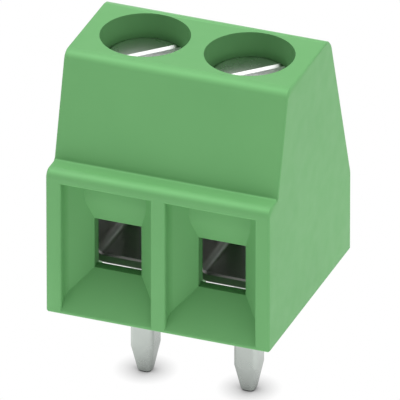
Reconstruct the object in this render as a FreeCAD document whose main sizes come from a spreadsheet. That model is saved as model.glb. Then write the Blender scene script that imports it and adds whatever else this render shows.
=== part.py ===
import FreeCAD, Part
import os
import re
import Sketcher

# Two-pole screw terminal for a circuit board, with rising clamp cages.
# Lengths are in millimetres and angles in degrees.
# The origin is on the board, under the middle of the pin row.
# +X runs along the row of poles, the wire entries face -Y and +Z leaves the board.
# Every pole holds a screw that turns in place. It lifts a cage, whose floor
# presses the wire up against the bar of a bent contact.

# Sizes that a designer sets. Each is one cell of the sheet.
driving_sizes = [
    # The row
    ("poles", 2, "poles in the row"),
    ("pitch", 3.5, "from one screw axis to the next"),
    ("mouth_wall", 0.5, "wall between two wire mouths"),
    ("chamber_wall", 0.5, "wall between two clamp chambers"),
    ("hole_wall", 0.62, "wall between two driver holes"),
    # The housing, seen from its side
    ("back_wall", 1.31, "wall behind the contact at the foot"),
    ("back_kink_height", 2.8, "height where the back starts to lean in"),
    ("back_slope", 18, "lean of the back above the kink"),
    ("ledge_height", 5.08, "height of the ledge over the mouths"),
    ("ledge_depth", 0.74, "depth of the ledge"),
    ("front_slope", 15, "lean of the front above the ledge"),
    ("ledge_round", 0.3, "rounding of the front edge of the ledge"),
    ("crest_front_round", 0.37, "rounding of the front edge of the top"),
    ("crest_back_round", 0.54, "rounding of the back edge of the top"),
    ("side_bevel", 0.05, "bevel round both ends of the row"),
    # The wire entry
    ("mouth_lintel", 0.45, "from the top of a mouth to the ledge"),
    ("mouth_step", 0.4, "straight depth of a mouth before it narrows"),
    ("funnel_depth", 1.1, "from the front face to the throat"),
    ("brow_overhang", 0.25, "from the wall over the throat back to the throat"),
    ("brow_height", 0.72, "height of the slope between that wall and the throat"),
    ("brow_round", 1.5, "rounding where that wall turns into the slope"),
    ("step_round", 0.35, "rounding where a mouth starts to narrow"),
    ("rim_round", 0.08, "rounding of the mouths' front edges"),
    ("entry_lip", 0.1, "height of the ramp's front edge over the board"),
    ("throat_width", 1.58, "width of the throat"),
    ("throat_height", 1.76, "height of the throat"),
    ("throat_length", 0.35, "straight length of the throat"),
    # The contact, bent from one strip
    ("contact_thickness", 0.8, "thickness of the strip"),
    ("contact_lift", 0.05, "gap between the strip and the board"),
    ("contact_bend", 0.2, "inside radius of the two back bends"),
    ("contact_side_gap", 0.3, "gap between the bar and the cage at each side"),
    ("bar_setback", 0.2, "from the front of the cage to the end of the bar"),
    ("bar_rise", 0.05, "from the top of the throat up to the bar"),
    ("bar_nose_round", 0.3, "rounding under the front end of the bar"),
    ("neck_length", 0.5, "narrow part of the lower leg behind the pin"),
    ("pin_width", 0.8, "width of the pin across the row"),
    ("pin_length", 3.5, "length of the pin below the board plane"),
    ("pin_taper_length", 0.95, "length of the tapered end of the pin"),
    ("pin_tip_width", 0.45, "width of the pin at its tip"),
    ("pin_round", 0.15, "rounding of the pin's long edges"),
    ("pin_tip_bevel", 0.07, "bevel round the end of the pin"),
    ("pin_bend_round", 0.6, "outside radius where the leg turns down"),
    ("seat_gap", 0.02, "gap between the contact and its slot"),
    # The clamp cage
    ("cage_length", 3.0, "length along the wire"),
    ("cage_wall", 0.3, "thickness of its floor and sides"),
    ("cage_bend", 0.3, "inside radius between floor and sides"),
    ("cage_crown_round", 0.45, "rounding of its upper long edges"),
    ("cage_edge_bevel", 0.05, "bevel along the rims of both ends"),
    ("cage_side_gap", 0.1, "gap to the chamber at each side"),
    ("cage_end_gap", 0.12, "gap to the chamber at each end"),
    ("cage_rest_gap", 0.12, "gap to the lower leg when the clamp is open"),
    ("entry_gap", 0.55, "from the cage to the back of the throat"),
    ("window_gap", 0.1, "gap over the bar when the clamp is open"),
    ("collar_height", 0.8, "height of the threaded collar"),
    ("thinnest_wire", 0.31, "space left over the floor when fully clamped"),
    ("ceiling_gap", 0.12, "gap over the collar when fully clamped"),
    # The screw
    ("shank_radius", 1.0, "outside radius of the thread"),
    ("thread_gap", 0.03, "gap between the thread and its collar"),
    ("shank_clearance", 0.15, "gap between the thread and the housing"),
    ("tip_chamfer", 0.25, "chamfer at the tip"),
    ("tip_gap", 0.04, "gap between the tip and the bar"),
    ("shoulder_thickness", 0.5, "housing wall under the head"),
    ("head_rest_gap", 0.05, "gap under the head"),
    ("head_gap", 0.09, "gap between the head and the driver hole"),
    ("head_height", 0.8, "height of the head"),
    ("head_round", 0.17, "rounding of the head's upper edge"),
    ("slot_width", 0.44, "width of the driver slot"),
    ("slot_depth", 0.45, "depth of the driver slot"),
    ("slot_bevel", 0.08, "bevel along the slot's upper edges"),
    ("slot_angle", 45, "direction of the slot, from +X towards +Y"),
    ("driver_recess", 0.75, "from the top of the housing down to the head"),
]

# Sizes and places that follow from the driving ones.
formulas = {
    # Along the row
    "first_pole": "-(poles - 1) * pitch / 2",
    "housing_width": "poles * pitch + mouth_wall",
    "mouth_width": "pitch - mouth_wall",
    "chamber_width": "pitch - chamber_wall",
    "cage_width": "chamber_width - 2 * cage_side_gap",
    "window_width": "cage_width - 2 * cage_wall",
    "contact_width": "window_width - 2 * contact_side_gap",
    "slot_half_width": "contact_width / 2 + seat_gap",
    "hole_radius": "(pitch - hole_wall) / 2",
    "head_radius": "hole_radius - head_gap",
    # From the front to the back
    "chamber_half_length": "cage_length / 2 + cage_end_gap",
    "leg_front": "chamber_half_length",
    "leg_back": "leg_front + contact_thickness",
    "slot_back": "leg_back + seat_gap",
    "housing_back": "slot_back + back_wall",
    "throat_back": "-(cage_length / 2 + entry_gap)",
    "throat_front": "throat_back - throat_length",
    "housing_front": "throat_front - funnel_depth",
    "step_back": "housing_front + mouth_step",
    "brow_front": "throat_front - brow_overhang",
    "slope_foot": "housing_front + ledge_depth",
    "crest_front": "slope_foot + (housing_height - ledge_height) * tan(front_slope)",
    "crest_back": "housing_back - (housing_height - back_kink_height) * tan(back_slope)",
    "bar_front": "-(cage_length / 2 - bar_setback)",
    "pin_half_depth": "contact_thickness / 2",
    # From the board up
    "leg_top": "contact_lift + contact_thickness",
    "cage_bottom": "leg_top + cage_rest_gap",
    "wire_floor": "cage_bottom + cage_wall",
    "throat_top": "wire_floor + throat_height",
    "bar_bottom": "throat_top + bar_rise",
    "bar_top": "bar_bottom + contact_thickness",
    "window_top": "bar_top + window_gap",
    "collar_top": "window_top + collar_height",
    "clamp_travel": "bar_bottom - wire_floor - thinnest_wire",
    "chamber_top": "collar_top + clamp_travel + ceiling_gap",
    "shoulder_top": "chamber_top + shoulder_thickness",
    "head_bottom": "shoulder_top + head_rest_gap",
    "head_top": "head_bottom + head_height",
    "housing_height": "head_top + driver_recess",
    "screw_tip": "bar_top + tip_gap",
    "mouth_top": "ledge_height - mouth_lintel",
    "brow_top": "throat_top + brow_height",
    "taper_top": "pin_taper_length - pin_length",
    "pin_root": "leg_top - pin_bend_round",
}

sheet_name = "sizes"
functions = ("tan",)
tolerance = 1e-6


# Fill the sheet: the word, its plain number and what it means.
def make_sheet(document):
    sheet = document.addObject("Spreadsheet::Sheet", sheet_name)
    for row, (word, number, meaning) in enumerate(driving_sizes, start=1):
        sheet.set(f"A{row}", word)
        sheet.set(f"B{row}", str(number))
        sheet.set(f"C{row}", meaning)
        sheet.setAlias(f"B{row}", word)
    document.recompute()
    return sheet


# Replace each word of a formula until only cells of the sheet are left.
def expand(formula):
    def replace(match):
        word = match.group(0)
        if word in functions:
            return word
        if word in formulas:
            return f"({expand(formulas[word])})"
        return f"{sheet_name}.{word}"

    return re.sub(r"[a-z][a-z_]*", replace, formula)


def bind(target, path, formula):
    target.setExpression(path, expand(formula))


# Worked-out value of a formula, for the places where code picks an edge.
def value(document, formula):
    result = document.getObject(sheet_name).evalExpression(expand(formula))
    return float(result)


def make_body(document, label):
    body = document.addObject("PartDesign::Body", label)
    body.Label = label
    return body


# Empty sketch on one of the body's own origin planes, moved along the plane's normal.
def make_sketch(body, name, role, offset="0"):
    sketch = body.newObject("Sketcher::SketchObject", name)
    plane = [item for item in body.Origin.OriginFeatures if item.Role == role][0]
    sketch.AttachmentSupport = [(plane, "")]
    sketch.MapMode = "FlatFace"
    bind(sketch, "AttachmentOffset.Base.z", offset)
    return sketch


# Closed outline of straight edges. Each corner is two formulas, bound to the sheet.
def sketch_outline(body, name, role, corners, offset="0"):
    sketch = make_sketch(body, name, role, offset)
    count = len(corners)
    turn = FreeCAD.Rotation(FreeCAD.Vector(0, 0, 1), 360 / count)
    start = FreeCAD.Vector(1, 0, 0)
    for index in range(count):
        end = turn.multVec(start)
        sketch.addGeometry(Part.LineSegment(start, end), False)
        start = end
    for index in range(count):
        following = (index + 1) % count
        sketch.addConstraint(Sketcher.Constraint("Coincident", index, 2, following, 1))
    for index, corner in enumerate(corners):
        for direction, formula in zip("XY", corner):
            label = f"corner{index}{direction}"
            rule = Sketcher.Constraint("Distance" + direction, -1, 1, index, 1, 1.0)
            sketch.renameConstraint(sketch.addConstraint(rule), label)
            bind(sketch, "Constraints." + label, formula)
    return sketch


# Rectangle between two opposite corners.
def sketch_rectangle(body, name, role, low, high, offset="0"):
    corners = [low, (high[0], low[1]), high, (low[0], high[1])]
    return sketch_outline(body, name, role, corners, offset)


# Circle whose centre lies on the sketch's horizontal axis.
def sketch_circle(body, name, role, centre, radius, offset="0"):
    sketch = make_sketch(body, name, role, offset)
    up = FreeCAD.Vector(0, 0, 1)
    sketch.addGeometry(Part.Circle(FreeCAD.Vector(1, 0, 0), up, 1), False)
    sketch.addConstraint(Sketcher.Constraint("PointOnObject", 0, 3, -1))
    place = sketch.addConstraint(Sketcher.Constraint("DistanceX", -1, 1, 0, 3, 1.0))
    sketch.renameConstraint(place, "centre")
    bind(sketch, "Constraints.centre", centre)
    size = sketch.addConstraint(Sketcher.Constraint("Radius", 0, 1.0))
    sketch.renameConstraint(size, "radius")
    bind(sketch, "Constraints.radius", radius)
    return sketch


# Pad or pocket of a sketch, to both sides of it or to one.
def extrude(body, kind, sketch, length, midplane=False, reverse=False):
    feature = body.newObject("PartDesign::" + kind, sketch.Name + "_" + kind.lower())
    feature.Profile = sketch
    feature.Midplane = midplane
    feature.Reversed = reverse
    bind(feature, "Length", length)
    sketch.Visibility = False
    return feature


# Pocket from the sketch through all of the body.
def cut_through(body, sketch, reverse=False):
    feature = body.newObject("PartDesign::Pocket", sketch.Name + "_pocket")
    feature.Profile = sketch
    feature.Type = "ThroughAll"
    feature.Reversed = reverse
    sketch.Visibility = False
    return feature


# Straight-sided solid or cut between two sketches.
def loft(body, kind, first, second):
    feature = body.newObject("PartDesign::" + kind, first.Name + "_loft")
    feature.Profile = first
    feature.Sections = [second]
    feature.Ruled = True
    first.Visibility = False
    second.Visibility = False
    return feature


# Names of the body's edges that pass a test of their two end points.
def find_edges(body, test):
    body.Document.recompute()
    names = []
    for number, edge in enumerate(body.Tip.Shape.Edges, start=1):
        points = [vertex.Point for vertex in edge.Vertexes]
        if len(points) == 2 and test(points):
            names.append(f"Edge{number}")
    return names


# True for an edge whose ends both lie at the given coordinates along two axes.
def runs_at(points, first_axis, first, second_axis, second):
    return all(
        abs(getattr(point, first_axis) - first) < tolerance
        and abs(getattr(point, second_axis) - second) < tolerance
        for point in points
    )


def round_edges(body, name, names, radius):
    base = body.Tip
    feature = body.newObject("PartDesign::Fillet", name)
    feature.Base = (base, names)
    bind(feature, "Radius", radius)
    body.Tip = feature
    return feature


def bevel_edges(body, name, names, size):
    base = body.Tip
    feature = body.newObject("PartDesign::Chamfer", name)
    feature.Base = (base, names)
    bind(feature, "Size", size)
    body.Tip = feature
    return feature


# Names of the edges that run along one axis, at the given places along the other two.
def find_lines(body, axes, places):
    document = body.Document
    spots = [(value(document, low), value(document, high)) for low, high in places]

    def chosen(points):
        return any(runs_at(points, axes[0], low, axes[1], high) for low, high in spots)

    return find_edges(body, chosen)


def round_lines(body, name, axes, places, radius):
    return round_edges(body, name, find_lines(body, axes, places), radius)


# The moulded block without its cavities: the side outline, drawn across the row.
def mould_block(body):
    corners = [
        ("housing_front", "0"),
        ("housing_back", "0"),
        ("housing_back", "back_kink_height"),
        ("crest_back", "housing_height"),
        ("crest_front", "housing_height"),
        ("slope_foot", "ledge_height"),
        ("housing_front", "ledge_height"),
    ]
    outline = sketch_outline(body, "side", "YZ_Plane", corners)
    extrude(body, "Pad", outline, "housing_width", midplane=True)
    ledge = [("housing_front", "ledge_height")]
    round_lines(body, "ledge_rounding", "yz", ledge, "ledge_round")
    crest = [("crest_front", "housing_height")]
    round_lines(body, "crest_front_rounding", "yz", crest, "crest_front_round")
    crest = [("crest_back", "housing_height")]
    round_lines(body, "crest_back_rounding", "yz", crest, "crest_back_round")


# Wire entry of the first pole: a mouth with a ramp below and a steep brow above,
# a cheek at each side that narrows it, and a throat.
def mould_entry(body):
    corners = [
        ("housing_front", "entry_lip"),
        ("throat_front", "wire_floor"),
        ("throat_front", "throat_top"),
        ("brow_front", "brow_top"),
        ("brow_front", "mouth_top"),
        ("housing_front", "mouth_top"),
    ]
    outline = sketch_outline(body, "mouth", "YZ_Plane", corners, "first_pole")
    mouth = extrude(body, "Pocket", outline, "mouth_width", midplane=True)
    cheeks = [mould_cheek(body, "left", "-"), mould_cheek(body, "right", "+")]
    passage = sketch_rectangle(
        body, "throat", "XZ_Plane",
        ("first_pole - throat_width / 2", "wire_floor"),
        ("first_pole + throat_width / 2", "throat_top"),
        "-(throat_front)",
    )
    throat = extrude(body, "Pocket", passage, "throat_length")
    return [mouth] + cheeks + [throat]


# Upright wedge that narrows the first pole's mouth from one side.
def mould_cheek(body, name, side):
    corners = [
        (f"first_pole {side} mouth_width / 2", "step_back"),
        (f"first_pole {side} mouth_width / 2", "throat_front"),
        (f"first_pole {side} throat_width / 2", "throat_front"),
    ]
    wedge = sketch_outline(body, f"{name}_cheek", "XY_Plane", corners, "entry_lip")
    return extrude(body, "Pad", wedge, "mouth_top - entry_lip")


# Cavities of the first pole, all open below: the shaft that guides the cage,
# the space in front of it and the slot that holds the contact.
def mould_chamber(body):
    side_low = "first_pole - chamber_width / 2"
    side_high = "first_pole + chamber_width / 2"
    shaft = sketch_rectangle(
        body, "cage_shaft", "XY_Plane",
        (side_low, "-(chamber_half_length)"),
        (side_high, "chamber_half_length"),
        "chamber_top",
    )
    space = sketch_rectangle(
        body, "wire_space", "XY_Plane",
        (side_low, "throat_back"), (side_high, "0"), "bar_top")
    slot = sketch_rectangle(
        body, "contact_slot", "XY_Plane",
        ("first_pole - slot_half_width", "0"),
        ("first_pole + slot_half_width", "slot_back"),
        "bar_top + seat_gap",
    )
    return [cut_through(body, sketch) for sketch in (shaft, space, slot)]


# Stepped hole of the first pole: wide for the head and the driver, narrow for the shank.
def mould_screw_hole(body):
    wide = sketch_circle(
        body, "driver_hole", "XY_Plane", "first_pole", "hole_radius", "shoulder_top")
    narrow = sketch_circle(
        body, "shank_hole", "XY_Plane", "first_pole",
        "shank_radius + shank_clearance", "shoulder_top")
    return [
        cut_through(body, wide, reverse=True),
        extrude(body, "Pocket", narrow, "shoulder_thickness"),
    ]


# Repeat the first pole's cavities along the row.
def repeat_along_row(body, features):
    pattern = body.newObject("PartDesign::LinearPattern", "pole_pattern")
    pattern.Originals = features
    row = [item for item in body.Origin.OriginFeatures if item.Role == "X_Axis"][0]
    pattern.Direction = (row, [""])
    bind(pattern, "Length", "(poles - 1) * pitch")
    bind(pattern, "Occurrences", "poles")
    body.Tip = pattern


# Round the edges of all the mouths: over the throat, where the sides start to narrow
# and round the front.
def round_mouths(body):
    round_lines(body, "brow_rounding", "yz", [("brow_front", "brow_top")], "brow_round")
    sides = [
        f"first_pole + {index} * pitch {side} mouth_width / 2"
        for index in range(int(value(body.Document, "poles")))
        for side in ("-", "+")
    ]
    places = [(side, "step_back") for side in sides]
    round_lines(body, "step_rounding", "xy", places, "step_round")
    places = [(side, "housing_front") for side in sides]
    names = find_lines(body, "xy", places)
    places = [("housing_front", "mouth_top"), ("housing_front", "entry_lip")]
    names += find_lines(body, "yz", places)
    round_edges(body, "rim_rounding", names, "rim_round")


# Bevel the edges of both ends of the row, from the board up and over the top.
def bevel_sides(body):
    side = value(body.Document, "housing_width / 2")

    def at_side(points):
        return all(abs(abs(point.x) - side) < tolerance for point in points)

    bevel_edges(body, "side_edges", find_edges(body, at_side), "side_bevel")


def make_housing(document):
    body = make_body(document, "housing")
    mould_block(body)
    features = mould_entry(body) + mould_chamber(body) + mould_screw_hole(body)
    repeat_along_row(body, features)
    round_mouths(body)
    bevel_sides(body)
    return body


# Bent strip: the bar over the wire, the leg behind the cage and the leg under it.
def bend_strip(body):
    corners = [
        ("bar_front", "bar_bottom"),
        ("leg_front", "bar_bottom"),
        ("leg_front", "leg_top"),
        ("pin_half_depth + neck_length", "leg_top"),
        ("pin_half_depth + neck_length", "contact_lift"),
        ("leg_back", "contact_lift"),
        ("leg_back", "bar_top"),
        ("bar_front", "bar_top"),
    ]
    outline = sketch_outline(body, "strip", "YZ_Plane", corners)
    extrude(body, "Pad", outline, "contact_width", midplane=True)
    inside = [("leg_front", "bar_bottom"), ("leg_front", "leg_top")]
    round_lines(body, "inside_bends", "yz", inside, "contact_bend")
    outside = [("leg_back", "contact_lift"), ("leg_back", "bar_top")]
    round_lines(
        body, "outside_bends", "yz", outside, "contact_bend + contact_thickness")
    nose = [("bar_front", "bar_bottom")]
    round_lines(body, "bar_nose", "yz", nose, "bar_nose_round")


# Narrow end of the lower leg, turned down into the pin with its tapered tip.
def bend_pin(body):
    corners = [
        ("-(pin_half_depth)", "contact_lift"),
        ("leg_front", "contact_lift"),
        ("leg_front", "leg_top"),
        ("-(pin_half_depth)", "leg_top"),
    ]
    neck = sketch_outline(body, "neck", "YZ_Plane", corners)
    extrude(body, "Pad", neck, "pin_width", midplane=True)
    turn = [("-(pin_half_depth)", "leg_top")]
    round_lines(body, "pin_bend", "yz", turn, "pin_bend_round")
    low = ("-(pin_width / 2)", "-(pin_half_depth)")
    high = ("pin_width / 2", "pin_half_depth")
    root = sketch_rectangle(body, "pin", "XY_Plane", low, high, "pin_root")
    extrude(body, "Pad", root, "pin_root - (taper_top)", reverse=True)
    top = sketch_rectangle(body, "taper", "XY_Plane", low, high, "taper_top")
    low = ("-(pin_tip_width / 2)", "-(pin_tip_width / 2)")
    high = ("pin_tip_width / 2", "pin_tip_width / 2")
    tip = sketch_rectangle(body, "tip", "XY_Plane", low, high, "-(pin_length)")
    loft(body, "AdditiveLoft", top, tip)


# Round the long edges of the pin and of its taper, and bevel its end.
def round_pin(body):
    low = value(body.Document, "taper_top")

    def along_pin(points):
        heights = [point.z for point in points]
        slanted = abs(heights[0] - heights[1]) > tolerance
        return slanted and min(heights) < low + tolerance

    round_edges(body, "pin_rounding", find_edges(body, along_pin), "pin_round")
    end = value(body.Document, "-(pin_length)")

    def at_end(points):
        return all(abs(point.z - end) < tolerance for point in points)

    bevel_edges(body, "pin_end", find_edges(body, at_end), "pin_tip_bevel")


def make_contact(document, number):
    body = make_body(document, f"contact_{number}")
    bend_strip(body)
    bend_pin(body)
    round_pin(body)
    return body


# Square sleeve with a thick top. The wire passes under the bar, above the sleeve's floor.
def make_cage(document, number):
    body = make_body(document, f"clamp_cage_{number}")
    sleeve = sketch_rectangle(
        body, "sleeve", "XZ_Plane",
        ("-(cage_width / 2)", "cage_bottom"), ("cage_width / 2", "collar_top"))
    extrude(body, "Pad", sleeve, "cage_length", midplane=True)
    window = sketch_rectangle(
        body, "window", "XZ_Plane",
        ("-(window_width / 2)", "wire_floor"), ("window_width / 2", "window_top"))
    extrude(body, "Pocket", window, "cage_length", midplane=True)
    outer = [("-(cage_width / 2)", "cage_bottom"), ("cage_width / 2", "cage_bottom")]
    round_lines(body, "outer_bends", "xz", outer, "cage_bend + cage_wall")
    inner = [("-(window_width / 2)", "wire_floor"), ("window_width / 2", "wire_floor")]
    round_lines(body, "inner_bends", "xz", inner, "cage_bend")
    crown = [("-(cage_width / 2)", "collar_top"), ("cage_width / 2", "collar_top")]
    round_lines(body, "crown_rounding", "xz", crown, "cage_crown_round")
    bevel_rims(body)
    thread = sketch_circle(
        body, "thread_bore", "XY_Plane", "0", "shank_radius + thread_gap", "collar_top")
    extrude(body, "Pocket", thread, "collar_height")
    return body


# Bevel the rims of both ends. Each rim is one chain that runs through its bends.
def bevel_rims(body):
    end = "cage_length / 2"
    places = [
        (side + end, level)
        for side in ("", "-")
        for level in ("cage_bottom", "wire_floor")
    ]
    bevel_edges(body, "rims", find_lines(body, "yz", places), "cage_edge_bevel")


# Cheese-head screw, turned about its axis, with a straight slot.
def make_screw(document, number):
    body = make_body(document, f"screw_{number}")
    corners = [
        ("0", "screw_tip"),
        ("shank_radius - tip_chamfer", "screw_tip"),
        ("shank_radius", "screw_tip + tip_chamfer"),
        ("shank_radius", "head_bottom"),
        ("head_radius", "head_bottom"),
        ("head_radius", "head_top"),
        ("0", "head_top"),
    ]
    outline = sketch_outline(body, "half_section", "XZ_Plane", corners)
    turned = body.newObject("PartDesign::Revolution", "turned_form")
    turned.Profile = outline
    turned.ReferenceAxis = (outline, ["V_Axis"])
    outline.Visibility = False
    round_head(body)
    cut_slot(body)
    return body


# Straight slot across the head, drawn as its section, with bevelled upper edges.
def cut_slot(body):
    corners = [
        ("-(slot_width / 2)", "head_top - slot_depth"),
        ("slot_width / 2", "head_top - slot_depth"),
        ("slot_width / 2", "head_top - slot_bevel"),
        ("slot_width / 2 + slot_bevel", "head_top"),
        ("-(slot_width / 2 + slot_bevel)", "head_top"),
        ("-(slot_width / 2)", "head_top - slot_bevel"),
    ]
    slot = sketch_outline(body, "slot", "YZ_Plane", corners)
    extrude(body, "Pocket", slot, "2 * head_radius", midplane=True)


# Round the head's upper edge, the one full circle at its height and radius.
def round_head(body):
    document = body.Document
    document.recompute()
    height = value(document, "head_top")
    names = [
        f"Edge{number}"
        for number, edge in enumerate(body.Tip.Shape.Edges, start=1)
        if abs(edge.BoundBox.ZMin - height) < tolerance
    ]
    round_edges(body, "head_rounding", names, "head_round")


# Put a body at its pole, turned about its own upright axis.
def place_at_pole(body, index, angle="0"):
    body.Placement = FreeCAD.Placement(
        FreeCAD.Vector(0, 0, 0), FreeCAD.Rotation(FreeCAD.Vector(0, 0, 1), 1))
    bind(body, "Placement.Base.x", f"first_pole + {index} * pitch")
    bind(body, "Placement.Rotation.Angle", angle)


# Stop at anything that did not build.
def check_model(document, bodies):
    for item in document.Objects:
        if "Invalid" in item.State or "Error" in item.State:
            raise RuntimeError(f"{item.Label} did not build")
    for body in bodies:
        if body.Shape.isNull() or not body.Shape.isValid():
            raise RuntimeError(f"{body.Label} has no valid shape")


def main():
    document = FreeCAD.newDocument("screw_terminal")
    make_sheet(document)
    bodies = [make_housing(document)]
    for index in range(int(value(document, "poles"))):
        contact = make_contact(document, index + 1)
        place_at_pole(contact, index)
        cage = make_cage(document, index + 1)
        place_at_pole(cage, index)
        screw = make_screw(document, index + 1)
        place_at_pole(screw, index, "slot_angle")
        bodies += [contact, cage, screw]
    document.recompute()
    check_model(document, bodies)
    os.makedirs("parts", exist_ok=True)
    for body in bodies:
        body.Shape.exportStep(f"parts/{body.Label}.step")
        print(body.Label, "solids", len(body.Shape.Solids), "volume", round(body.Shape.Volume, 3))


main()
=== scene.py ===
import math
import bpy
import bmesh
import numpy as np
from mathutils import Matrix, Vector


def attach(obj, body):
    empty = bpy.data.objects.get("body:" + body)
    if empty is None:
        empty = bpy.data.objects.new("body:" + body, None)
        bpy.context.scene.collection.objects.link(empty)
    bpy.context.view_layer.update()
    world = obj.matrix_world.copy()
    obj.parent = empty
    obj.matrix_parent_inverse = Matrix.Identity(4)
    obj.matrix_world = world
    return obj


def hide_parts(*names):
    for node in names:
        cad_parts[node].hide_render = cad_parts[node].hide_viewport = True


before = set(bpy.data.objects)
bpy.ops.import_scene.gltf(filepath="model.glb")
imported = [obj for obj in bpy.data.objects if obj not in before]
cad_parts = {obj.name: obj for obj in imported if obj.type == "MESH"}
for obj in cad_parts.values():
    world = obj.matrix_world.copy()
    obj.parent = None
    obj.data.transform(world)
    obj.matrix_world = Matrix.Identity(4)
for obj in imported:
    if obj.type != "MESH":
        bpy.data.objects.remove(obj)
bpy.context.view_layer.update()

# Two-pole screw terminal for a circuit board. Sizes are in millimetres here
# and become metres where a mesh, lamp or material is made.
mm = 0.001
poles = [-1.75, 1.75]  # x of the two screw axes
weldDistance = 1e-4    # corners that lie closer than this are one
shortestEdge = 1e-5    # shorter ones have collapsed and are dissolved


# An object for a mesh, a lamp or the camera, put into the scene.
def addObject(name, data):
    added = bpy.data.objects.new(name, data)
    bpy.context.scene.collection.objects.link(added)
    return added


# Copy of a carried-over node's mesh under a name of its own.
def copyMesh(node, name):
    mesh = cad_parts[node].data.copy()
    mesh.name = name
    return mesh


# A mesh opened for editing, with the corners that coincide merged.
def openWelded(mesh):
    shell = bmesh.new()
    shell.from_mesh(mesh)
    bmesh.ops.remove_doubles(shell, verts=shell.verts, dist=weldDistance * mm)
    return shell


# The edited shape goes back into its mesh.
def closeShell(shell, mesh):
    shell.to_mesh(mesh)
    shell.free()


# Shade every face smooth, and keep an edge crisp where its two faces meet at the bend
# angle or more.
def softenEdges(shell, bendAngle):
    shell.normal_update()
    for face in shell.faces:
        face.smooth = True
    for edge in shell.edges:
        edge.smooth = edge.calc_face_angle(0) < math.radians(bendAngle)


# A numpy surface becomes an object: points in mm, faces as index rows of 3 or 4.
def makePiece(name, points, faces, body, sharp=35):
    mesh = bpy.data.meshes.new(name)
    mesh.from_pydata((points * mm).tolist(), [], faces)
    shell = openWelded(mesh)
    bmesh.ops.dissolve_degenerate(shell, edges=shell.edges, dist=shortestEdge * mm)
    bmesh.ops.recalc_face_normals(shell, faces=shell.faces)
    closeShell(shell, mesh)
    mesh.shade_smooth()
    mesh.set_sharp_from_angle(angle=math.radians(sharp))
    piece = addObject(name, mesh)
    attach(piece, body)
    return piece


# Faces of a grid of rows x columns points. With closed, the last column joins the first.
def gridFaces(rows, columns, closed=False):
    steps = columns if closed else columns - 1
    row, column = np.meshgrid(np.arange(rows - 1), np.arange(steps), indexing="ij")
    following = (column + 1) % columns
    corners = [row * columns + column, row * columns + following,
               (row + 1) * columns + following, (row + 1) * columns + column]
    return np.stack(corners, axis=-1).reshape(-1, 4).tolist()


# Several surfaces as one: their points in a row, and their faces counted on.
def joinSurfaces(surfaces):
    faces, start = [], 0
    for points, ownFaces in surfaces:
        faces += [[start + corner for corner in face] for face in ownFaces]
        start += len(points)
    return np.concatenate([points for points, ownFaces in surfaces]), faces


# Points about the z axis: x and y are the radius times the direction's cosine and sine.
def polar(reach, directions, height):
    x, y = reach * np.cos(directions), reach * np.sin(directions)
    return np.stack(np.broadcast_arrays(x, y, height), axis=-1).reshape(-1, 3)


# The housing. Its end bevels lie beyond bevelFrom and are turned out of the row by
# bevelTurn, and its rounded edges are strips that are turned by less than stripTurn,
# both as the x of a face's normal.
housingLooks = {
    "bendAngle": 13, "normalWeight": 100, "bevelFrom": 3.69, "bevelTurn": (0.3, 0.95),
    "stripLength": 6, "stripArea": 0.3, "stripTurn": 0.3,
    # the painted highlight on the rounded edges is full at this lean, and fades within the
    # reach
    "highlightAngle": 48, "highlightReach": 24,
}


# True for the faces of the small bevels at both ends of the row.
def isEndBevel(face):
    least, most = housingLooks["bevelTurn"]
    nearest = min(abs(corner.co.x) for corner in face.verts)
    return least < abs(face.normal.x) < most and nearest > housingLooks["bevelFrom"] * mm


# Painted highlight at each corner of the moulding's faces; it also makes them smoother.
# Only the long narrow strips of the rounded edges along the row count. There the
# highlight is full where the surface leans back by the highlight angle, and falls evenly
# to none within the reach on each side.
def paintHighlightStrips(shell):
    layer = shell.loops.layers.float.new("polishAndHighlight")
    shell.normal_update()
    for face in shell.faces:
        longest = max(edge.calc_length() for edge in face.edges)
        long = longest > housingLooks["stripLength"] * mm
        narrow = face.calc_area() < housingLooks["stripArea"] * mm * mm
        strip = long and narrow and abs(face.normal.x) < housingLooks["stripTurn"]
        for corner in face.loops:
            lean = math.degrees(math.asin(max(-1, min(1, corner.vert.normal.z))))
            off = abs(lean - housingLooks["highlightAngle"]) / housingLooks["highlightReach"]
            corner[layer] = max(0.0, 1 - off) if strip else 0.0


# Copy of the moulding with its loose triangles merged, so that its rounded and bevelled
# edges are shaded softly. Edges that bend by more than the bend angle stay crisp, apart
# from those of the end bevels.
def addHousing():
    mesh = copyMesh("housing", "mouldedHousing")
    shell = openWelded(mesh)
    paintHighlightStrips(shell)
    softenEdges(shell, housingLooks["bendAngle"])
    for face in filter(isEndBevel, shell.faces):
        for edge in face.edges:
            edge.smooth = True
    closeShell(shell, mesh)
    piece = addObject("mouldedHousing", mesh)
    normals = piece.modifiers.new("normals", "WEIGHTED_NORMAL")
    normals.weight = housingLooks["normalWeight"]
    normals.keep_sharp = True
    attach(piece, "block")
    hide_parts("housing")
    return piece


# The cages
cageLooks = {"floorDrop": 0.035, "fullBelow": 1.02, "noneAbove": 1.2, "bendAngle": 28}


# Copy of a cage whose floor reaches lower, so that the pale ground hardly shows through
# the gap below it: z falls by the floor drop up to fullBelow, and by a share of it that
# fades evenly to none at noneAbove.
def addCage(number):
    mesh = copyMesh(f"clamp_cage_{number}", f"bentCage_{number}")
    places = np.empty(len(mesh.vertices) * 3)
    mesh.vertices.foreach_get("co", places)
    places = places.reshape(-1, 3)
    fadeHeight = cageLooks["noneAbove"] - cageLooks["fullBelow"]
    share = (cageLooks["noneAbove"] - places[:, 2] / mm) / fadeHeight
    places[:, 2] -= cageLooks["floorDrop"] * mm * np.clip(share, 0, 1)
    mesh.vertices.foreach_set("co", places.ravel())
    shell = openWelded(mesh)
    softenEdges(shell, cageLooks["bendAngle"])
    closeShell(shell, mesh)
    piece = addObject(f"bentCage_{number}", mesh)
    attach(piece, f"cage_{number}")
    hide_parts(f"clamp_cage_{number}")
    return piece


# The contacts
contactLooks = {"bendAngle": 28}


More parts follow.
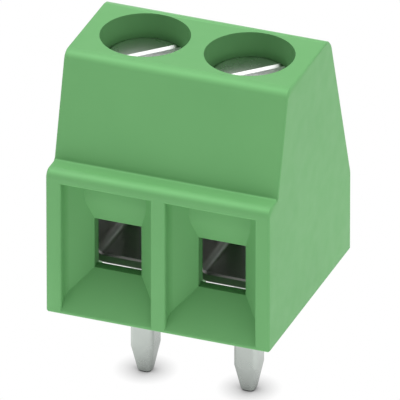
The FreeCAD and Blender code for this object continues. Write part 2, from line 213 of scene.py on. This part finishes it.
# Weld the loose triangles of a carried-over contact for shading, so that its curved
# faces are smooth and its sharp edges stay sharp.
def smoothContact(contact):
    for face in contact.data.polygons:
        face.use_smooth = True
    weld = contact.modifiers.new("weld", "WELD")
    weld.merge_threshold = weldDistance * mm
    split = contact.modifiers.new("split", "EDGE_SPLIT")
    split.split_angle = math.radians(contactLooks["bendAngle"])


# The screws. rimClear is in radians, on both sides of an edge of the slot, and faces
# nearer to the head's side than sideMargin aren't milled. The last line is how finely
# the head is divided.
screwSizes = {
    "tip": 3.92, "tipChamfer": 0.25, "shankRadius": 1.0,
    "pitch": 0.4, "threadDepth": 0.235, "threadTop": 6.62, "threadFade": 0.16,
    "neckRadius": 0.84, "headBottom": 6.95, "headTop": 7.75, "headRadius": 1.35,
    "headRound": 0.17, "headEdge": 0.05, "underHeadRound": 0.1, "sideMargin": 0.001,
    "slotWidth": 0.44, "slotDepth": 0.45, "slotBevel": 0.08, "slotAngle": 45,
    "rimClear": 0.03, "rimSteps": 22, "chordSteps": 32, "filletSteps": 4,
}

# The thread's profile in shares of a pitch from the middle of a crest: half of its flat
# crest, the start of its flat root, and all its corners with the middles between them.
crestEnd, rootStart = 1 / 16, 3 / 8
flankMiddle = (crestEnd + rootStart) / 2
threadCorners = np.array([
    -crestEnd, crestEnd, flankMiddle, rootStart, 1 / 2, 1 - rootStart, 1 - flankMiddle])


# Radius of the thread where its phase runs once per pitch: a flat crest an eighth of
# a pitch wide, straight flanks, and a root a quarter of a pitch wide.
def threadRadius(phase, outer, depth):
    away = np.abs((phase + 0.5) % 1 - 0.5)
    return outer - depth * np.clip((away - crestEnd) / (rootStart - crestEnd), 0, 1)


# Radii and heights of a threaded surface from below the tip to above the given top: one
# row for each corner of the profile, one column for each direction. A row climbs by one
# pitch per turn.
def helix(sizes, directions, top, spareTurns=2):
    turns = math.ceil((top - sizes["tip"]) / sizes["pitch"]) + spareTurns
    phase = (np.arange(-spareTurns, turns)[:, None] + threadCorners[None, :]).ravel()
    climb = phase[:, None] + directions[None, :] / (2 * math.pi)
    height = sizes["tip"] + sizes["pitch"] * climb
    reach = threadRadius(phase, sizes["shankRadius"], sizes["threadDepth"])
    return reach[:, None] + 0 * height, height


# Directions round the screw, in the slot's own frame: even steps, plus the angles
# where the slot's walls and the outer edges of its bevels meet the rim.
def rimAngles(sizes):
    half, clear = sizes["slotWidth"] / 2, sizes["rimClear"]
    wall = math.asin(half / sizes["headRadius"])
    notch = math.asin((half + sizes["slotBevel"]) / sizes["headRadius"])
    even = np.linspace(-math.pi / 2, math.pi / 2, 2 * sizes["rimSteps"] + 1)
    even = even[(np.abs(even) < wall - clear) | (np.abs(even) > notch + clear)]
    return np.sort(np.concatenate([even, [-notch, -wall, wall, notch]])), wall, notch


# Top of the head as chords across the slot: its height falls along the rounded rim with
# the distance from the axis, and in the slot by the bevels and the depth. The rim goes
# up the right ends of the chords and back down the left ones.
def headTopSurface(sizes):
    angles, wall, notch = rimAngles(sizes)
    radius, rounding = sizes["headRadius"], sizes["headRound"]
    low = angles[:np.searchsorted(angles, -notch) + 1]
    middle = angles[np.searchsorted(angles, -wall):np.searchsorted(angles, wall) + 1]
    rows = np.concatenate([low, [-wall], middle, [wall], -low[::-1]])
    bevel, depth = [sizes["slotBevel"]], np.full(len(middle), sizes["slotDepth"])
    drop = np.concatenate([0 * low, bevel, depth, bevel, 0 * low])
    across = np.sin(np.linspace(-math.pi / 2, math.pi / 2, sizes["chordSteps"] + 1))
    x = radius * np.cos(rows)[:, None] * across[None, :]
    y = radius * np.sin(rows)[:, None] * np.ones(len(across))[None, :]
    overRim = np.clip(np.hypot(x, y) - (radius - rounding), 0, rounding)
    z = sizes["headTop"] - rounding + np.sqrt(rounding ** 2 - overRim ** 2)
    z = np.minimum(z, sizes["headTop"] - drop[:, None])
    chords = np.stack([x, y, z], axis=-1)
    rim = np.concatenate([chords[:, -1], chords[::-1, 0]])
    return (chords.reshape(-1, 3), gridFaces(len(rows), len(across))), rim


# Side and underside of the head: a profile turned about the axis, from the rim over a
# small edge and a fillet to the neck.
def headSideSurface(sizes, rim):
    radius, bottom = sizes["headRadius"], sizes["headBottom"]
    neck, edge, bend = sizes["neckRadius"], sizes["headEdge"], sizes["underHeadRound"]
    turn = np.linspace(0, math.pi / 2, sizes["filletSteps"] + 1)
    reaches = [radius, radius - edge, *(neck + bend - bend * np.sin(turn))]
    heights = [bottom + edge, bottom, *(bottom - bend + bend * np.cos(turn))]
    around = rim[:, :2] / radius
    rings = [rim]
    for reach, height in zip(reaches, heights):
        rings.append(np.column_stack([around * reach, np.full(len(rim), height)]))
    return np.concatenate(rings), gridFaces(len(rings), len(rim), closed=True)


# Shank with its thread: the helix held between the tip and the fillet, faded to the
# neck below the thread's top, and kept inside the cone of the tip's chamfer.
def shankSurface(sizes, directions, twist):
    tip, neck = sizes["tip"], sizes["neckRadius"]
    reach, height = helix(sizes, directions + twist, sizes["headBottom"])
    height = np.clip(height, tip, sizes["headBottom"] - sizes["underHeadRound"])
    fade = np.clip((sizes["threadTop"] - height) / sizes["threadFade"], 0, 1)
    cone = sizes["shankRadius"] - sizes["tipChamfer"] + (height - tip)
    reach = np.minimum(neck + (reach - neck) * fade, cone)
    return polar(reach, directions, height), gridFaces(*height.shape)


# Flat tip: a fan from a ring to the axis.
def tipSurface(sizes, directions):
    ring = polar(sizes["shankRadius"] - sizes["tipChamfer"], directions, sizes["tip"])
    faces = [[corner + 1, corner, len(ring)] for corner in range(len(ring) - 1)]
    return np.concatenate([ring, [[0, 0, sizes["tip"]]]]), faces


# Cheese-head screw as one closed shell, joined from surfaces whose edges coincide. It is
# built in the slot's own frame, from directions that each occur once, and then turned
# by the slot's angle. The thread's helix allows for that turn.
def screwSurface(centre, sizes):
    headTop, rim = headTopSurface(sizes)
    angles = rimAngles(sizes)[0]
    directions = np.concatenate([angles, math.pi - angles[::-1]])
    directions = np.append(directions, directions[0] + 2 * math.pi)
    apart = np.diff(directions) > weldDistance
    directions = directions[np.concatenate([[True], apart])]
    twist = math.radians(sizes["slotAngle"])
    points, faces = joinSurfaces([
        headTop, headSideSurface(sizes, rim), shankSurface(sizes, directions, twist),
        tipSurface(sizes, directions)])
    c, s = math.cos(twist), math.sin(twist)
    turned = points @ np.array([[c, s, 0], [-s, c, 0], [0, 0, 1]])
    return turned + np.array([centre, 0, 0]), faces


# The threads in the collars. Their mouths lie by the inset inside the collar's ends, and
# wall is the radius of the ring outside.
collarSizes = {
    "bottom": 3.98, "top": 4.78, "inset": 0.01, "clearance": 0.03, "wall": 1.07,
    "mouthChamfer": 0.1, "mouthSlope": 2.4, "steps": 64,
}


# Ring with the matching thread inside: the same helix, standing a little off the
# screw's and widened at both mouths, closed by two flat rings and an outer wall sunk
# in the collar.
def collarThreadSurface(centre, collar, sizes):
    directions = np.linspace(0, 2 * math.pi, collar["steps"] + 1)
    reach, height = helix(sizes, directions, collar["top"])
    lower, upper = collar["bottom"] + collar["inset"], collar["top"] - collar["inset"]
    height = np.clip(height, lower, upper)
    ends = np.minimum(height - lower, upper - height)
    mouth = np.clip(ends, 0, collar["mouthChamfer"]) * collar["mouthSlope"]
    bore, wall = sizes["shankRadius"] + collar["clearance"], collar["wall"]
    reach = np.maximum(reach + collar["clearance"], bore - mouth)
    reaches = np.array([bore, wall, wall, bore])
    heights = np.array([upper, upper, lower, lower])
    points, faces = joinSurfaces([
        (polar(reach, directions, height), gridFaces(*height.shape)),
        (polar(reaches[:, None], directions, heights[:, None]),
         gridFaces(len(reaches), len(directions)))])
    return points + np.array([centre, 0, 0]), faces


# Mark the faces that a cutter leaves: those below the head's top and between the walls
# of the slot, measured across it from the screw's axis, and not on the head's side. The
# mark makes them duller and gives them a painted highlight.
def markSlot(piece, centre, sizes):
    mesh = piece.data
    middle = np.empty(len(mesh.polygons) * 3)
    mesh.polygons.foreach_get("center", middle)
    x, y, z = middle.reshape(-1, 3).T / mm
    twist = math.radians(sizes["slotAngle"])
    across = np.abs(y * math.cos(twist) - (x - centre) * math.sin(twist))
    below = (z < sizes["headTop"] - sizes["slotBevel"]) & (z > sizes["headBottom"])
    between = across <= sizes["slotWidth"] / 2 + weldDistance
    inside = np.hypot(x - centre, y) < sizes["headRadius"] - sizes["sideMargin"]
    milledWithHighlight = mesh.attributes.new("milledWithHighlight", "FLOAT", "FACE")
    milledWithHighlight.data.foreach_set("value", (below & between & inside).astype(np.float32))


# For each pole the screw, in place of its plain node, and the thread in the collar.
def addScrews():
    pieces = []
    for number, centre in enumerate(poles, start=1):
        points, faces = screwSurface(centre, screwSizes)
        screw = makePiece(f"slottedScrew_{number}", points, faces, f"screw_{number}")
        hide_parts(f"screw_{number}")
        markSlot(screw, centre, screwSizes)
        points, faces = collarThreadSurface(centre, collarSizes, screwSizes)
        thread = makePiece(f"collarThread_{number}", points, faces, f"cage_{number}")
        pieces.append((screw, thread))
    return pieces


# Material with an empty node tree, and with a plain colour for views without nodes.
def newMaterial(name, colour):
    material = bpy.data.materials.new(name)
    material.use_nodes = True
    material.diffuse_color = (*colour, 1)
    tree = material.node_tree
    tree.nodes.clear()
    return material, tree


# A node with its settings. An input is a number, a colour or another node's output.
def addNode(tree, kind, inputs=None, **settings):
    node = tree.nodes.new(kind)
    for key, setting in settings.items():
        setattr(node, key, setting)
    for key, entry in (inputs or {}).items():
        if isinstance(entry, bpy.types.NodeSocket):
            tree.links.new(entry, node.inputs[key])
        else:
            node.inputs[key].default_value = entry
    return node


# One step of arithmetic with numbers or other nodes' outputs.
def calculate(tree, operation, *entries):
    inputs = dict(enumerate(entries))
    return addNode(tree, "ShaderNodeMath", inputs, operation=operation).outputs[0]


# Straight line from one range of values to another, held at both ends.
def rescale(tree, entry, before, after):
    return addNode(tree, "ShaderNodeMapRange", {
        "Value": entry, "From Min": before[0], "From Max": before[1],
        "To Min": after[0], "To Max": after[1]}).outputs["Result"]


# The mix node numbers its sockets: 0 is the amount of the second, 2 and 3 are values,
# and 6 and 7 are colours.
def blendValues(tree, amount, first, second):
    return addNode(tree, "ShaderNodeMix", {0: amount, 2: first, 3: second}).outputs[0]


def blendColours(tree, amount, first, second):
    inputs = {0: amount, 6: first, 7: (*second, 1)}
    return addNode(tree, "ShaderNodeMix", inputs, data_type="RGBA").outputs[2]


# Noise whose grains are about the given size in mm, stretched by an optional scale.
def grain(tree, place, size, detail=3, stretch=(1, 1, 1)):
    mapped = addNode(tree, "ShaderNodeMapping", {"Vector": place, "Scale": stretch})
    return addNode(tree, "ShaderNodeTexNoise", {
        "Vector": mapped.outputs["Vector"], "Scale": 1 / (size * mm), "Detail": detail,
        "Roughness": 0.5}).outputs["Fac"]


# Noise lies mostly between 0.3 and 0.7, so that range is spread over the wanted one.
def spread(tree, noise, wanted):
    return rescale(tree, noise, (0.3, 0.7), wanted)


# Shader with its colour, its roughness and a bump of the given height in mm, and with
# further settings by the names of its sockets.
def finishMaterial(tree, colour, roughness, bumpNoise, bumpStrength, bumpHeight, further):
    bump = addNode(tree, "ShaderNodeBump", {
        "Height": bumpNoise, "Strength": bumpStrength, "Distance": bumpHeight * mm})
    shader = addNode(tree, "ShaderNodeBsdfPrincipled", {
        "Base Color": colour, "Roughness": roughness, "Normal": bump.outputs["Normal"],
        **further})
    addNode(tree, "ShaderNodeOutputMaterial", {"Surface": shader.outputs["BSDF"]})


# The moulded plastic
plastic = {
    "colour": (0.150, 0.384, 0.147), "deepColour": (0.141, 0.367, 0.139),
    # painted highlight colour of the rounded edges, which are also smoother
    "paintedHighlight": (0.195, 0.50, 0.195), "polishedRoughness": 0.28,
    "roughness": (0.36, 0.46), "shine": 0.1, "cloudSize": 2.4, "wanderSize": 0.6,
    "grainSize": 0.07, "grainStrength": 0.6, "grainHeight": 0.0012,
}


# Satin moulding: two close greens drift into each other in soft clouds, the roughness
# wanders with a finer noise, and a fine spark-eroded grain makes the bump. The rounded
# edges are a little smoother, and a painted highlight makes them lighter.
def makePlastic():
    material, tree = newMaterial("mouldedGreen", plastic["colour"])
    place = addNode(tree, "ShaderNodeTexCoord").outputs["Object"]
    polishAndHighlight = addNode(tree, "ShaderNodeAttribute", attribute_name="polishAndHighlight").outputs["Fac"]
    clouds = spread(tree, grain(tree, place, plastic["cloudSize"]), (0, 1))
    colour = blendColours(tree, clouds, (*plastic["colour"], 1), plastic["deepColour"])
    # painted highlight: the rounded edges turn lighter where they lean towards the light
    colour = blendColours(tree, polishAndHighlight, colour, plastic["paintedHighlight"])
    wander = spread(tree, grain(tree, place, plastic["wanderSize"]), plastic["roughness"])
    wander = blendValues(tree, polishAndHighlight, wander, plastic["polishedRoughness"])
    finishMaterial(
        tree, colour, wander, grain(tree, place, plastic["grainSize"]),
        plastic["grainStrength"], plastic["grainHeight"],
        {"Specular IOR Level": plastic["shine"]})
    return material


# The metals: what all platings share, then each of them.
plating = {"stainSize": 0.9, "lineDetail": 2, "lineStrength": 0.5}
tin = {
    "colour": (0.72, 0.78, 0.73), "stain": (0.66, 0.71, 0.67), "roughness": (0.22, 0.30),
    "lineStretch": (1, 1, 0.08), "lineSize": 0.05, "lineHeight": 0.0003,
}
nickel = {
    "colour": (0.68, 0.66, 0.66), "stain": (0.62, 0.60, 0.60), "roughness": (0.31, 0.37),
    "lineStretch": (1, 0.08, 1), "lineSize": 0.05, "lineHeight": 0.0001,
    # painted shade on both ends of a cage, and where it begins along y
    "endShadeColour": (0.24, 0.22, 0.23), "endShadeFrom": 1.4505,
}
zinc = {
    "colour": (0.60, 0.61, 0.60), "stain": (0.55, 0.57, 0.55), "roughness": (0.25, 0.29),
    "lineStretch": (1, 1, 1), "lineSize": 0.08, "lineHeight": 0.0002,
    # painted highlight colour of the milled slot faces, which are also duller
    "slotHighlightColour": (0.91, 0.91, 0.91), "milledRoughness": 0.45,
    # painted shade at the head's rim, between these distances from the axis
    "rimShadeColour": (0.15, 0.19, 0.15), "rimFrom": 1.15, "rimTo": 1.23,
}


# Share of the painted shade on the head's rim, for the dark gap between head and hole:
# none up to rimFrom from the nearer screw's axis, and all of it beyond rimTo. The axes
# lie at the same distance on both sides of x = 0.
def rimShadeShare(tree, place, looks):
    parts = addNode(tree, "ShaderNodeSeparateXYZ", {"Vector": place}).outputs
    aside = calculate(tree, "ABSOLUTE", parts["X"])
    aside = calculate(tree, "SUBTRACT", aside, poles[1] * mm)
    flat = addNode(tree, "ShaderNodeCombineXYZ", {"X": aside, "Y": parts["Y"]})
    away = addNode(tree, "ShaderNodeVectorMath", {0: flat.outputs[0]}, operation="LENGTH")
    before = (looks["rimFrom"] * mm, looks["rimTo"] * mm)
    return rescale(tree, away.outputs["Value"], before, (0, 1))


# Share of the painted shade on the ends of a cage, for the shade deep in the wire entry:
# 1 further than the given distance from the middle along y, else 0.
def endShadeShare(tree, place, looks):
    along = addNode(tree, "ShaderNodeSeparateXYZ", {"Vector": place}).outputs["Y"]
    away = calculate(tree, "ABSOLUTE", along)
    return calculate(tree, "GREATER_THAN", away, looks["endShadeFrom"] * mm)


# Plated metal: soft stains that carry the colour and the roughness, and fine lines,
# drawn out along one axis, for a very shallow bump. A screw's rim and a cage's ends
# get painted shade, and milled faces are duller and get a painted highlight.
def makePlating(name, looks):
    material, tree = newMaterial(name, looks["colour"])
    place = addNode(tree, "ShaderNodeTexCoord").outputs["Object"]
    stains = grain(tree, place, plating["stainSize"])
    share = spread(tree, stains, (0, 1))
    colour = blendColours(tree, share, (*looks["colour"], 1), looks["stain"])
    wander = spread(tree, stains, looks["roughness"])
    if "rimShadeColour" in looks:
        # painted shade on the head's rim
        rim = rimShadeShare(tree, place, looks)
        colour = blendColours(tree, rim, colour, looks["rimShadeColour"])
    if "slotHighlightColour" in looks:
        milledWithHighlight = addNode(tree, "ShaderNodeAttribute", attribute_name="milledWithHighlight").outputs["Fac"]
        # painted highlight on the milled slot faces
        colour = blendColours(tree, milledWithHighlight, colour, looks["slotHighlightColour"])
        wander = blendValues(tree, milledWithHighlight, wander, looks["milledRoughness"])
    if "endShadeColour" in looks:
        endShade = endShadeShare(tree, place, looks)
        # painted shade on the cage's ends
        colour = blendColours(tree, endShade, colour, looks["endShadeColour"])
    lines = grain(tree, place, looks["lineSize"], plating["lineDetail"], looks["lineStretch"])
    finishMaterial(
        tree, colour, wander, lines, plating["lineStrength"], looks["lineHeight"],
        {"Metallic": 1.0})
    return material


# The piece gets this material and no other.
def dress(piece, material):
    piece.data.materials.clear()
    piece.data.materials.append(material)


# The studio
studio = {
    "floorHeight": -3.5, "floorSize": 240, "floorColour": (0.8, 0.8, 0.8),
    "floorGlow": 0.93, "air": 0.346, "haloReach": 0.8, "haloDepth": 1.2,
    "mirroredReach": 6.0, "mirroredDepth": 0.8, "mirroredLeast": 0.25,
    "shadeSamples": 16, "lampTarget": (0, 0, 3),
}
lamps = {
    "overhead": {"place": (0, 0, 90), "size": 70, "strength": 0.813, "mirrored": False},
    "rightSide": {"place": (85, -20, 50), "size": 60, "strength": 0.045},
    "rightHigh": {"place": (65, 0, 75), "size": 50, "strength": 0.127},
    "rightBack": {"place": (60, 60, 50), "size": 50, "strength": 0.035},
    "leftHigh": {"place": (-65, 0, 75), "size": 50, "strength": 0.171},
}


# Brightness of the floor near the part: 1 in the open, falling by the depth where all
# directions within the reach are covered.
def floorShade(tree, reach, depth):
    near = addNode(tree, "ShaderNodeAmbientOcclusion", {"Distance": reach * mm},
                   samples=studio["shadeSamples"])
    return rescale(tree, near.outputs["AO"], (0, 1), (1 - depth, 1))


# The floor shows as white, darkened only close to what touches it. Polished metal
# sees it darker under the part, and other light meets a plain pale surface.
def makeFloor():
    half = studio["floorSize"] / 2
    z = studio["floorHeight"]
    corners = np.array([[-half, -half, z], [half, -half, z], [half, half, z], [-half, half, z]])
    mesh = bpy.data.meshes.new("floor")
    mesh.from_pydata((corners * mm).tolist(), [], [[0, 1, 2, 3]])
    floor = addObject("floor", mesh)
    material, tree = newMaterial("paleFloor", (1, 1, 1))
    halo = floorShade(tree, studio["haloReach"], studio["haloDepth"])
    wide = floorShade(tree, studio["mirroredReach"], studio["mirroredDepth"])
    both = calculate(tree, "MULTIPLY", halo, wide)
    both = calculate(tree, "MAXIMUM", both, studio["mirroredLeast"])
    shown = addNode(tree, "ShaderNodeEmission", {"Strength": halo})
    mirror = addNode(tree, "ShaderNodeEmission", {"Strength": both})
    glow = addNode(tree, "ShaderNodeEmission", {"Strength": studio["floorGlow"]})
    matt = addNode(tree, "ShaderNodeBsdfDiffuse", {"Color": (*studio["floorColour"], 1)})
    plain = addNode(tree, "ShaderNodeAddShader", {0: glow.outputs[0], 1: matt.outputs[0]})
    rays = addNode(tree, "ShaderNodeLightPath").outputs
    glossy = addNode(tree, "ShaderNodeMixShader", {
        0: rays["Is Glossy Ray"], 1: plain.outputs[0], 2: mirror.outputs[0]})
    choice = addNode(tree, "ShaderNodeMixShader", {
        0: rays["Is Camera Ray"], 1: glossy.outputs[0], 2: shown.outputs[0]})
    addNode(tree, "ShaderNodeOutputMaterial", {"Surface": choice.outputs["Shader"]})
    dress(floor, material)


# Plain white for the camera, for mirrors and through glass, and the studio's air for
# soft light.
def makeWorld():
    world = bpy.data.worlds.new("studioAir")
    bpy.context.scene.world = world
    world.use_nodes = True
    tree = world.node_tree
    tree.nodes.clear()
    rays = addNode(tree, "ShaderNodeLightPath").outputs
    shown = rays["Is Camera Ray"]
    for ray in ("Is Glossy Ray", "Is Transmission Ray"):
        shown = calculate(tree, "MAXIMUM", shown, rays[ray])
    strength = rescale(tree, shown, (0, 1), (studio["air"], 1))
    air = addNode(tree, "ShaderNodeBackground", {
        "Color": (1, 1, 1, 1), "Strength": strength})
    addNode(tree, "ShaderNodeOutputWorld", {"Surface": air.outputs["Background"]})


# Square lamp aimed at the part. Its power is set so that a surface square to it gets
# the wanted share of the light that shows a colour as written. A lamp that isn't
# mirrored leaves no blank white patch on the flat metal below it.
def addLamp(name, place, size, strength, mirrored=True):
    lamp = bpy.data.lights.new(name, "AREA")
    lamp.size = size * mm
    aim = Vector(studio["lampTarget"]) - Vector(place)
    lamp.energy = strength * math.pi ** 2 * (aim.length * mm) ** 2
    holder = addObject(name, lamp)
    holder.location = Vector(place) * mm
    holder.rotation_euler = aim.to_track_quat("-Z", "Y").to_euler()
    holder.visible_glossy = mirrored


# Floor, surroundings and all lamps.
def makeStudio():
    makeFloor()
    makeWorld()
    for name, lamp in lamps.items():
        addLamp(name, **lamp)


# The camera. Its lens and sensor are in mm, as everywhere, and so is how near and far
# it sees.
view = {
    "target": (0.03, 0.15, 2.87), "azimuth": 20.97, "elevation": 28.83,
    "lens": 1600, "sensor": 36, "frameWidth": 12.585, "nearest": 100, "farthest": 3000,
}


# A very long lens far away, since the photograph's edges run parallel.
def makeCamera():
    turn, rise = math.radians(view["azimuth"]), math.radians(view["elevation"])
    level = math.cos(rise)
    back = Vector((math.sin(turn) * level, -math.cos(turn) * level, math.sin(rise)))
    lens = bpy.data.cameras.new("camera")
    lens.lens = view["lens"]
    lens.sensor_width = view["sensor"]
    lens.clip_start, lens.clip_end = view["nearest"] * mm, view["farthest"] * mm
    camera = addObject("camera", lens)
    away = view["frameWidth"] * mm * view["lens"] / view["sensor"]
    camera.location = Vector(view["target"]) * mm + back * away
    camera.rotation_euler = back.to_track_quat("Z", "Y").to_euler()
    bpy.context.scene.camera = camera
    bpy.context.scene.view_settings.view_transform = "Standard"


print("housing")
housing = addHousing()
print("cages")
cages = [addCage(number) for number in (1, 2)]
print("screws and threads")
screwPieces = addScrews()
print("materials")
mouldedGreen = makePlastic()
tinPlating = makePlating("tinPlating", tin)
nickelPlating = makePlating("nickelPlating", nickel)
zincPlating = makePlating("zincPlating", zinc)
dress(housing, mouldedGreen)
for number, cage in enumerate(cages, start=1):
    dress(cage, nickelPlating)
    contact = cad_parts[f"contact_{number}"]
    dress(contact, tinPlating)
    smoothContact(contact)
for screw, thread in screwPieces:
    dress(screw, zincPlating)
    dress(thread, nickelPlating)
print("studio and camera")
makeStudio()
makeCamera()
